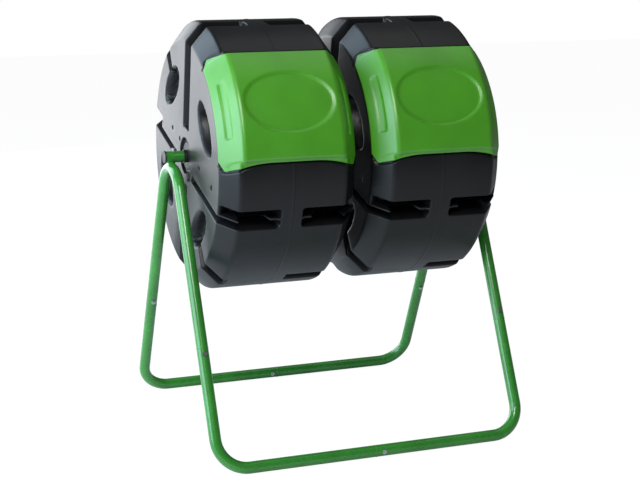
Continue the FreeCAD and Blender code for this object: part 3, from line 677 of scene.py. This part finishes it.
def half_shell(name, centre, upper, material):
    """One half shell of a drum, as a grid spun round the axle and pressed into shape."""
    drum, groove = settings("drum"), settings("groove")
    pocket, door = settings("pocket"), settings("door")
    stations = both_sides(drum_stations(drum, groove))
    lines = shell_lines(drum, groove, upper)
    frames = [pocket_frame(pocket, angle, lean) for angle, lean in POCKETS]
    bm, found = spun_grid([place for place, _ in stations], 180, len(lines))
    for vert, station, line in found:
        vert.co = shaped(drum, groove, pocket, door, frames, lines[line], *stations[station])
    ends = [f for f in bm.faces if abs(f.calc_center_median().x) > drum.half_width - 1.3 * pocket.depth]
    for side in (-1, 1):
        if upper:
            for spot in screw_places(drum, side):
                rim = open_hole(bm, ends, *round_hole(spot, SCREW_WELL))
                sink_well(bm, rim, side, SCREW_WELL_DEPTH)
        for middle, along, _ in frames:
            for i in range(VENTS):
                spot = middle + along * (i - (VENTS - 1) / 2) * pocket.vent_pitch
                spot.x = side * (drum.half_width - pocket.depth)
                if (spot.dot(at_angle(0, 1, drum.seam + 90)) > 0) == upper:
                    open_hole(bm, ends, *round_hole(spot, pocket.vent))
    if upper:
        open_hole(bm, list(bm.faces), *door_hole())
    bmesh.ops.translate(bm, verts=bm.verts, vec=(centre, 0, AXLE_Z))
    face_outwards(bm, lambda p: Vector(((p.x - centre) * 2, p.y, p.z - AXLE_Z)))
    side = name.split("_")[0]
    piece = finished(bm, name, [material], f"{side}_drum",
                     [f"{side}_{'upper' if upper else 'lower'}_shell"])
    thicken(piece, drum.wall, 0.0008)
    return piece


def drum_centre(side):
    low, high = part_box(f"{side}_upper_shell")
    return (low.x + high.x) / 2


# Doors

def door_stations(door):
    """The door's outline (x, r) from one flap's end to the other's."""
    crease = (door.panel_half_width, door.panel_radius)
    fall = (door.flap_end_x - crease[0], door.flap_end_r - crease[1])
    slope = math.degrees(math.atan2(-fall[1], fall[0]))
    bend = door.crease
    reach = bend * math.tan(math.radians(slope) / 2)
    half = [(x, crease[1]) for x in steps(0, crease[0] - reach, 27)]
    half += arc((crease[0] - reach, crease[1] - bend), bend, 90, 90 - slope, 8)
    start = half[-1]
    half += [(mixed(start[0], door.flap_end_x, i / 20), mixed(start[1], door.flap_end_r, i / 20))
             for i in range(1, 21)]
    return [(-x, r) for x, r in half[:0:-1]] + half


# A door's edges: degrees round the axle, and places across it from its middle.
SAG = 3.2                      # the bottom edge comes down towards the flaps
SAG_START, SAG_RUN = 0.046, 0.090
RISE = 3.2                     # the top edge goes up over the flaps
CORNER_START = 0.1400          # the flaps' corners are cut off from here
CORNER_CUT = 4.0

# The step at a panel's edges.
LOW_STEP = 0.8 * MM            # how far it is from the bottom edge, and how much further over the flaps
LOW_STEP_MORE, LOW_STEP_LEAVES = 7 * MM, (0.05, 0.14)
LOW_STEP_WIDER = 1.7           # how much wider it is at the bottom
HIGH_STEP_LESS, HIGH_STEP_NEARS = 9 * MM, (0.10, 0.14)  # the upper step moves outwards over the flaps
STEP_END = 0.143               # the step is gone by here

# The drum's chamfer under the flaps, which a door's sheet stays above.
BARREL, CHAMFER_START, CHAMFER_FALL = 0.2915, 0.1145, 1.239
SHEET_ABOVE = 1.5 * MM

# The finger slot in each flap.
GRIP_X, GRIP_ANGLE, GRIP_OUT = 0.1297, 26.9, 0.273  # its middle
GRIP_HALF_LENGTH, GRIP_HALF_WIDTH, GRIP_WALL = 0.0625, 0.0088, 2.2 * MM
GRIP_FLAP_SLANT = 1.5          # length along the flap for each step across the drum
GRIP_SINKS = (0.72, 0.69)      # the way in: across the drum, and towards the axle


def door_edges(door, x):
    """The angles of the door's bottom and top edges at one place across it. The flaps run on to cut corners."""
    x = abs(x)
    out = min(1.0, max(0.0, (x - SAG_START) / SAG_RUN)) ** 2
    back = max(0.0, (x - CORNER_START) / (door.flap_end_x - CORNER_START))
    bottom = door.bottom - SAG * out + CORNER_CUT * back
    top = door.top + RISE * soft(x, door.panel_half_width + 6 * MM, CORNER_START) - CORNER_CUT * back
    return bottom, top


PLAQUE_WALL = 3.6 * MM  # width that the wall of the oval recess takes


def oval_weight(a, b, half_a, half_b, slope):
    """How far a point is pressed into an oval, from 0 to 1."""
    size = math.hypot(a / half_a, b / half_b)
    steep = math.hypot(a / half_a ** 2, b / half_b ** 2) / max(size, 1e-6)
    return ramp((1 - size) / max(steep, 1e-6) / slope, 0.4)


def grip_weight(width, angle):
    """How far a point of a flap is pressed into its finger slot, from 0 to 1."""
    along = (angle - GRIP_ANGLE) * DEGREE * GRIP_OUT
    corner = 0.6 * GRIP_HALF_WIDTH
    over = max(0.0, abs(along) - (GRIP_HALF_LENGTH - corner))
    beside = max(0.0, abs(width - GRIP_X) * GRIP_FLAP_SLANT - (GRIP_HALF_WIDTH - corner))
    return ramp((corner - math.hypot(beside, over)) / GRIP_WALL, 0.35)


def door_shape(door, place, share):
    """Where a point of the door's grid ends up."""
    x, r = place
    bottom, top = door_edges(door, x)
    angle = mixed(bottom, top, share)
    width = abs(x)
    low_edge = (angle - bottom) * DEGREE * r - LOW_STEP - LOW_STEP_MORE * soft(width, *LOW_STEP_LEAVES)
    high_edge = (door.top - angle) * DEGREE * r + HIGH_STEP_LESS * soft(width, *HIGH_STEP_NEARS)
    high_edge -= door.rim
    edge = min(low_edge / (LOW_STEP_WIDER * door.pillow), high_edge / door.pillow)
    lift = 1 - soft(width, door.panel_half_width - 4 * MM, STEP_END)
    fallen = door.pillow_drop * lift * (1 - ramp(edge, 0.3))
    barrel = BARREL - CHAMFER_FALL * max(0.0, width - CHAMFER_START)
    r = max(r - fallen, min(r, barrel + SHEET_ABOVE))
    up = (angle - DOOR_ANGLE) * DEGREE * r
    r -= door.plaque_depth * oval_weight(x, up, door.plaque_half_width, door.plaque_half_height, PLAQUE_WALL)
    dip = door.grip_depth * grip_weight(width, angle)
    x -= math.copysign(1, x) * dip * GRIP_SINKS[0]
    r -= dip * GRIP_SINKS[1]
    return at_angle(x, r, angle)


def door_cover(side, centre, material):
    """The sheet of a door: its panel and both flaps."""
    door = settings("door")
    stations = door_stations(door)
    near = steps(0, 0.1, 26) + steps(0.1, 0.5, 40)  # shares of the way up, closer at the edges
    rows = near + [0.5] + [1 - share for share in near[::-1]]
    bm, found = spun_grid(stations, 90, len(rows))
    for vert, station, row in found:
        vert.co = door_shape(door, stations[station], rows[row])
    bmesh.ops.translate(bm, verts=bm.verts, vec=(centre, 0, AXLE_Z))
    face_outwards(bm, lambda p: Vector((0, p.y, p.z - AXLE_Z)))
    piece = finished(bm, f"{side}_door_cover", [material], f"{side}_hatch", [f"{side}_door"])
    thicken(piece, door.thickness, 0.0009)
    return piece


def door_skirt(side, centre, material):
    """The rim under a door that fills the drum's opening."""
    door = settings("door")
    half_x, half_v, corner = SKIRT
    depth = 0.262  # from the axle to the skirt's inner edge
    out = at_angle(0, 1, DOOR_ANGLE)
    up = at_angle(0, 1, DOOR_ANGLE + 90)
    outline = []
    for quarter, (sx, sv) in enumerate(((1, 1), (-1, 1), (-1, -1), (1, -1))):
        for i in range(9):
            turn = math.radians(90 * quarter + 90 * i / 8)
            outline.append((sx * (half_x - corner) + corner * math.cos(turn),
                            sv * (half_v - corner) + corner * math.sin(turn)))
    bm = bmesh.new()
    ring = [bm.verts.new(Vector((x, 0, 0)) + up * v + out * depth) for x, v in outline]
    edges = [bm.edges.new((a, b)) for a, b in zip(ring, ring[1:] + ring[:1])]
    bmesh.ops.subdivide_edges(bm, edges=[e for e in edges if e.calc_length() > 0.02], cuts=12)
    made = bmesh.ops.extrude_edge_only(bm, edges=list(bm.edges))["geom"]
    top_r = door.panel_radius - door.thickness - 5.5 * MM
    for vert in (g for g in made if isinstance(g, bmesh.types.BMVert)):
        v = vert.co.dot(up)
        vert.co += out * (math.sqrt(top_r * top_r - v * v) - vert.co.dot(out))
    middle = out * depth
    bmesh.ops.translate(bm, verts=bm.verts, vec=(centre, 0, AXLE_Z))
    shift = Vector((centre, 0, AXLE_Z)) + middle
    face_outwards(bm, lambda p: (p - shift) - out * (p - shift).dot(out))
    piece = finished(bm, f"{side}_door_skirt", [material], f"{side}_hatch", [f"{side}_door"])
    thicken(piece, 2.5 * MM, 0.0005)
    return piece


# Stand

LEG_JOINT = (0.346, 0.2117, 0.245)  # the joint of one leg, and the way that the leg runs there
LEG_WAY = (-0.4288, 0.9034)
RAIL_JOINT = (0.322, 0.0125)  # the joint of one floor rail
RING_RADIUS, RING_WIDTH, RING_WALL = 12.95 * MM, 2.4 * MM, 0.7 * MM


def joint_rings():
    """The butt joints of the stand's tubes, each a low ring round the tube."""
    bm = bmesh.new()
    x, y, z = LEG_JOINT
    lean, rise = LEG_WAY
    rail_y, rail_z = RAIL_JOINT
    spots = [((x * a, y * b, z), (0, lean * b, rise)) for a in (-1, 1) for b in (-1, 1)]
    spots += [((0, rail_y * b, rail_z), (1, 0, 0)) for b in (-1, 1)]
    for spot, way in spots:
        turn = Vector(way).to_track_quat("Z", "Y").to_matrix().to_4x4()
        bmesh.ops.create_cone(bm, cap_ends=False, segments=48, radius1=RING_RADIUS, radius2=RING_RADIUS,
                              depth=RING_WIDTH, matrix=Matrix.Translation(spot) @ turn)
    bmesh.ops.recalc_face_normals(bm, faces=bm.faces)
    rings = finished(bm, "stand_joint_rings", [], "stand")
    thicken(rings, RING_WALL, 0.3 * MM)
    return rings


# Materials

class Nodes:
    """Short ways to add a material's nodes."""

    def __init__(self, name):
        self.material = bpy.data.materials.new(name)
        self.material.use_nodes = True
        self.tree = self.material.node_tree
        self.shader = self.tree.nodes["Principled BSDF"]
        self.coords = self.tree.nodes.new("ShaderNodeTexCoord").outputs["Object"]

    def set(self, **values):
        for name, value in values.items():
            self.shader.inputs[name.replace("_", " ")].default_value = value

    def link(self, output, name):
        self.tree.links.new(output, self.shader.inputs[name])

    def give(self, socket, value):
        """Links a socket to an output, or sets it to a value."""
        if isinstance(value, bpy.types.NodeSocket):
            self.tree.links.new(value, socket)
        else:
            socket.default_value = value

    def add(self, kind, **inputs):
        node = self.tree.nodes.new(kind)
        for name, value in inputs.items():
            self.give(node.inputs[name.replace("_", " ")], value)
        return node

    def noise(self, scale, detail=2.0, roughness=0.5, vector=None):
        node = self.add("ShaderNodeTexNoise", Scale=scale, Detail=detail, Roughness=roughness,
                        Vector=vector or self.coords)
        return node.outputs["Fac"]

    def stretched(self, scale):
        node = self.add("ShaderNodeMapping", Vector=self.coords)
        node.inputs["Scale"].default_value = scale
        return node.outputs["Vector"]

    def range(self, value, low, high, to_low=0.0, to_high=1.0):
        node = self.add("ShaderNodeMapRange", Value=value)
        for name, number in zip(("From Min", "From Max", "To Min", "To Max"), (low, high, to_low, to_high)):
            node.inputs[name].default_value = number
        return node.outputs["Result"]

    def math(self, kind, a, b):
        node = self.tree.nodes.new("ShaderNodeMath")
        node.operation = kind
        for socket, value in zip(node.inputs, (a, b)):
            self.give(socket, value)
        return node.outputs["Value"]

    def mix(self, share, a, b):
        """Mixes two colours. The node has sockets of the same names for other kinds of value."""
        node = self.tree.nodes.new("ShaderNodeMix")
        node.data_type = "RGBA"
        for name, kind, value in (("Factor", "VALUE", share), ("A", "RGBA", a), ("B", "RGBA", b)):
            if kind == "RGBA" and not isinstance(value, bpy.types.NodeSocket):
                value = (*value[:3], 1)
            self.give(next(s for s in node.inputs if (s.name, s.type) == (name, kind)), value)
        return next(s for s in node.outputs if s.type == "RGBA")

    def bump(self, layers):
        """Chains bumps, given as (height, strength, distance)."""
        normal = None
        for height, strength, distance in layers:
            node = self.add("ShaderNodeBump", Height=height, Strength=strength, Distance=distance)
            if normal:
                self.tree.links.new(normal, node.inputs["Normal"])
            normal = node.outputs["Normal"]
        self.link(normal, "Normal")


def tinted(colour, factor):
    return tuple(min(1.0, channel * factor) for channel in colour)


def shell_plastic():
    """Recycled black plastic: a fine moulded grain, faint flow marks, dust and light rubbing."""
    colour = settings("finish").shell
    m = Nodes("black_recycled_plastic")
    m.set(IOR=1.5, Specular_IOR_Level=0.45)
    grain = m.noise(1500, 3, 0.6)
    flow = m.noise(9, 3, 0.55, m.stretched((1.0, 0.35, 0.35)))
    dust = m.noise(22, 6, 0.65)
    spread = m.range(flow, 0.35, 0.68)
    base = m.mix(spread, tinted(colour, 0.82), tinted(colour, 1.3))
    dusty = m.range(dust, 0.58, 0.82, 0.0, 0.10)
    base = m.mix(dusty, base, (0.06, 0.06, 0.057))
    m.link(base, "Base Color")
    rough = m.math("ADD", m.range(flow, 0.3, 0.7, 0.30, 0.40), m.math("MULTIPLY", dusty, 0.5))
    m.link(rough, "Roughness")
    scratches = m.noise(60, 2, 0.5, m.stretched((18.0, 1.2, 1.2)))
    fine = m.range(scratches, 0.66, 0.72)
    m.bump([(m.noise(26, 2, 0.5), 0.10, 0.0012), (grain, 0.16, 0.0004), (fine, 0.05, 0.0002)])
    return m.material


def door_plastic():
    """Green plastic: smoother than the shells, with a soft gloss."""
    colour = settings("finish").door
    m = Nodes("green_moulded_plastic")
    m.set(IOR=1.5, Specular_IOR_Level=0.9, Coat_Weight=0.4, Coat_Roughness=0.32)
    cloud = m.noise(7, 3, 0.5)
    base = m.mix(m.range(cloud, 0.35, 0.65), tinted(colour, 0.9), tinted(colour, 1.1))
    specks = m.range(m.noise(240, 2, 0.6), 0.72, 0.8, 0.0, 0.18)
    base = m.mix(specks, base, tinted(colour, 0.6))
    m.link(base, "Base Color")
    m.link(m.range(m.noise(16, 5, 0.6), 0.3, 0.7, 0.30, 0.42), "Roughness")
    m.bump([(m.noise(30, 2, 0.5), 0.08, 0.001), (m.noise(1300, 3, 0.6), 0.10, 0.0003)])
    return m.material


def powder_coat():
    """Green powder coat on steel tube: a glossy skin with a fine orange peel and a few chips."""
    colour = settings("finish").coat
    m = Nodes("green_powder_coat")
    m.set(IOR=1.5, Specular_IOR_Level=0.5, Coat_Weight=0.9, Coat_Roughness=0.08)
    cloud = m.noise(12, 3, 0.5)
    base = m.mix(m.range(cloud, 0.35, 0.65), tinted(colour, 0.88), tinted(colour, 1.12))
    rubs = m.range(m.noise(140, 4, 0.6), 0.72, 0.80, 0.0, 0.2)
    base = m.mix(rubs, base, tinted(colour, 0.6))
    m.link(base, "Base Color")
    m.link(m.range(m.noise(30, 4, 0.6), 0.3, 0.7, 0.22, 0.34), "Roughness")
    m.bump([(m.noise(420, 2, 0.4), 0.02, 0.0004)])
    return m.material


def plated_steel(name, colour, rough):
    """Plated or blackened steel, with fine spots."""
    m = Nodes(name)
    m.set(Metallic=1.0)
    spots = m.noise(900, 4, 0.65)
    base = m.mix(m.range(spots, 0.4, 0.75), tinted(colour, 1.05), tinted(colour, 0.6))
    m.link(base, "Base Color")
    m.link(m.range(m.noise(500, 3, 0.6), 0.3, 0.7, rough, rough + 0.16), "Roughness")
    m.bump([(m.noise(2200, 2, 0.5), 0.12, 0.0001)])
    return m.material


def drawn_tube():
    """Bare drawn steel, with marks along the tube."""
    m = Nodes("drawn_steel")
    m.set(Metallic=1.0)
    lines = m.noise(300, 3, 0.6, m.stretched((0.06, 1.0, 1.0)))
    m.link(m.mix(m.range(lines, 0.35, 0.7), (0.5, 0.5, 0.51), (0.3, 0.3, 0.31)), "Base Color")
    m.link(m.range(lines, 0.3, 0.7, 0.28, 0.45), "Roughness")
    m.bump([(lines, 0.1, 0.0002)])
    return m.material


def black_nylon():
    """Dull black nylon, slightly uneven."""
    colour = settings("finish").trim
    m = Nodes("black_nylon")
    m.set(IOR=1.53, Specular_IOR_Level=0.5)
    m.link(m.mix(m.range(m.noise(60, 3, 0.5), 0.35, 0.7), colour, tinted(colour, 1.7)), "Base Color")
    m.link(m.range(m.noise(110, 3, 0.6), 0.3, 0.7, 0.38, 0.52), "Roughness")
    m.bump([(m.noise(1800, 2, 0.5), 0.1, 0.0002)])
    return m.material


def dress(nodes, material):
    """Gives CAD nodes a material."""
    for name in nodes:
        piece = frame["nodes"][name]
        piece.data.materials.clear()
        piece.data.materials.append(material)


# Operators

class TUMBLER_OT_shells(bpy.types.Operator):
    """Build the half shells of both drums"""
    bl_idname = "tumbler.shells"
    bl_label = "Drum shells"

    def execute(self, context):
        material = shell_plastic()
        for side in SIDES:
            centre = drum_centre(side)
            half_shell(f"{side}_upper_drum_shell", centre, True, material)
            half_shell(f"{side}_lower_drum_shell", centre, False, material)
        return {"FINISHED"}


class TUMBLER_OT_doors(bpy.types.Operator):
    """Build both doors"""
    bl_idname = "tumbler.doors"
    bl_label = "Doors"

    def execute(self, context):
        material = door_plastic()
        for side in SIDES:
            centre = drum_centre(side)
            door_cover(side, centre, material)
            door_skirt(side, centre, material)
        return {"FINISHED"}


class TUMBLER_OT_stand(bpy.types.Operator):
    """Finish the stand's tubes, bolts and axle"""
    bl_idname = "tumbler.stand"
    bl_label = "Stand"

    def execute(self, context):
        slots = {}
        for subpart in frame["record"]["subparts"]:
            slots.setdefault(subpart["material_slot"], []).append(subpart["node"])
        coat = powder_coat()
        dress(slots["green_steel"], coat)
        joint_rings().data.materials.append(coat)
        zinc = settings("finish").zinc
        dress(slots["bright_steel"], plated_steel("zinc_plate", zinc, 0.22))
        dress(slots["dark_steel"], plated_steel("black_oxide", (0.08, 0.08, 0.085), 0.35))
        dress(slots["axle_steel"], drawn_tube())
        dress(slots["black_trim"], black_nylon())
        return {"FINISHED"}


class TUMBLER_OT_stage(bpy.types.Operator):
    """Set the floor, lights and camera"""
    bl_idname = "tumbler.stage"
    bl_label = "Stage"

    def execute(self, context):
        stage = settings("stage")
        make_camera(stage)
        make_floor()
        make_lights()
        return {"FINISHED"}


SENSOR_WIDTH = 36      # millimetres
FLOOR_HALF = 12
FLOOR_GREY = 0.86
FLOOR_GLOW = 1.12      # how bright the camera sees the floor's glow, and the share of it that it sees
FLOOR_GLOW_SHARE = 0.86
WORLD_LIGHT = 0.08     # the world's strength as light, and as the camera sees it
WORLD_SEEN = 1.0
MIDDLE = (0, 0, 0.55)
COOL = (0.64, 0.83, 1.0)
LIGHTS = (  # name, place, target, size, power and colour
    ("rear_left_wall", (-1.9, 3.7, 0.9), MIDDLE, (4.6, 2.8), 116, (0.93, 0.96, 1.0)),
    ("left_softbox", (-3.2, -0.3, 1.4), MIDDLE, (3.0, 2.2), 94, COOL),
    ("upper_left_sky", (-2.6, 2.6, 3.1), (0, 0, 0.8), (2.2, 2.2), 62, COOL),
    ("front_key", (-1.5, -2.6, 3.0), MIDDLE, (1.3, 1.3), 49, (1, 1, 1)),
    ("top_fill", (0.6, 0.2, 3.2), MIDDLE, (2.0, 2.0), 6, (1, 1, 1)),
)


def make_camera(stage):
    data = bpy.data.cameras.new("camera")
    data.lens = stage.lens
    data.sensor_width = SENSOR_WIDTH
    camera = placed("camera", data)
    camera.location = stage.eye
    camera.rotation_euler = Euler([math.radians(a) for a in stage.turn])
    bpy.context.scene.camera = camera


def make_floor():
    """A pale floor. What the camera sees of it directly is mostly a glow, which keeps it even."""
    bm = bmesh.new()
    bmesh.ops.create_grid(bm, x_segments=1, y_segments=1, size=FLOOR_HALF)
    mesh = bpy.data.meshes.new("floor")
    bm.to_mesh(mesh)
    bm.free()
    floor = placed("floor", mesh)
    m = Nodes("pale_floor")
    m.set(Base_Color=(FLOOR_GREY, FLOOR_GREY, FLOOR_GREY, 1), Roughness=0.6)
    glow = m.add("ShaderNodeEmission", Strength=FLOOR_GLOW)
    seen = m.add("ShaderNodeLightPath").outputs["Is Camera Ray"]
    blend = m.add("ShaderNodeMixShader", Fac=m.math("MULTIPLY", seen, FLOOR_GLOW_SHARE))
    m.tree.links.new(m.shader.outputs["BSDF"], blend.inputs[1])
    m.tree.links.new(glow.outputs["Emission"], blend.inputs[2])
    m.tree.links.new(blend.outputs["Shader"], m.tree.nodes["Material Output"].inputs["Surface"])
    mesh.materials.append(m.material)


def area_light(name, place, target, size, power, colour):
    data = bpy.data.lights.new(name, "AREA")
    data.shape = "RECTANGLE"
    data.size, data.size_y = size
    data.energy = power
    data.color = colour
    lamp = placed(name, data)
    lamp.location = place
    lamp.visible_camera = False
    lamp.rotation_euler = (Vector(target) - Vector(place)).to_track_quat("-Z", "Y").to_euler()


def make_lights():
    for light in LIGHTS:
        area_light(*light)
    world = bpy.data.worlds.new("studio")
    bpy.context.scene.world = world
    world.use_nodes = True
    tree = world.node_tree
    back = tree.nodes["Background"]
    back.inputs["Color"].default_value = (1, 1, 1, 1)
    seen = tree.nodes.new("ShaderNodeLightPath").outputs["Is Camera Ray"]
    strength = tree.nodes.new("ShaderNodeMapRange")
    strength.inputs["To Min"].default_value = WORLD_LIGHT
    strength.inputs["To Max"].default_value = WORLD_SEEN
    tree.links.new(seen, strength.inputs["Value"])
    tree.links.new(strength.outputs["Result"], back.inputs["Strength"])
    bpy.context.scene.view_settings.view_transform = "Standard"


class TUMBLER_PT_panel(bpy.types.Panel):
    """Lists the tumbler's operators"""
    bl_idname = "TUMBLER_PT_panel"
    bl_label = "Compost tumbler"
    bl_space_type = "VIEW_3D"
    bl_region_type = "UI"
    bl_category = "Tumbler"

    def draw(self, context):
        for operator in OPERATORS:
            self.layout.operator(operator.bl_idname)


OPERATORS = (TUMBLER_OT_stage, TUMBLER_OT_stand, TUMBLER_OT_shells, TUMBLER_OT_doors)
GROUPS = {
    "drum": DrumSettings,
    "groove": GrooveSettings,
    "pocket": PocketSettings,
    "door": DoorSettings,
    "finish": FinishSettings,
    "stage": StageSettings,
}


def register():
    for cls in (*GROUPS.values(), *OPERATORS, TUMBLER_PT_panel):
        bpy.utils.register_class(cls)
    for name, group in GROUPS.items():
        setattr(bpy.types.Scene, PREFIX + name, PointerProperty(type=group))


def unregister():
    for name in GROUPS:
        delattr(bpy.types.Scene, PREFIX + name)
    for cls in (TUMBLER_PT_panel, *reversed(OPERATORS), *reversed(list(GROUPS.values()))):
        bpy.utils.unregister_class(cls)


def main():
    register()
    bpy.ops.tumbler.stage()
    bpy.ops.tumbler.stand()
    bpy.ops.tumbler.shells()
    bpy.ops.tumbler.doors()
    bpy.context.view_layer.update()


if __name__ == "__main__":
    main()
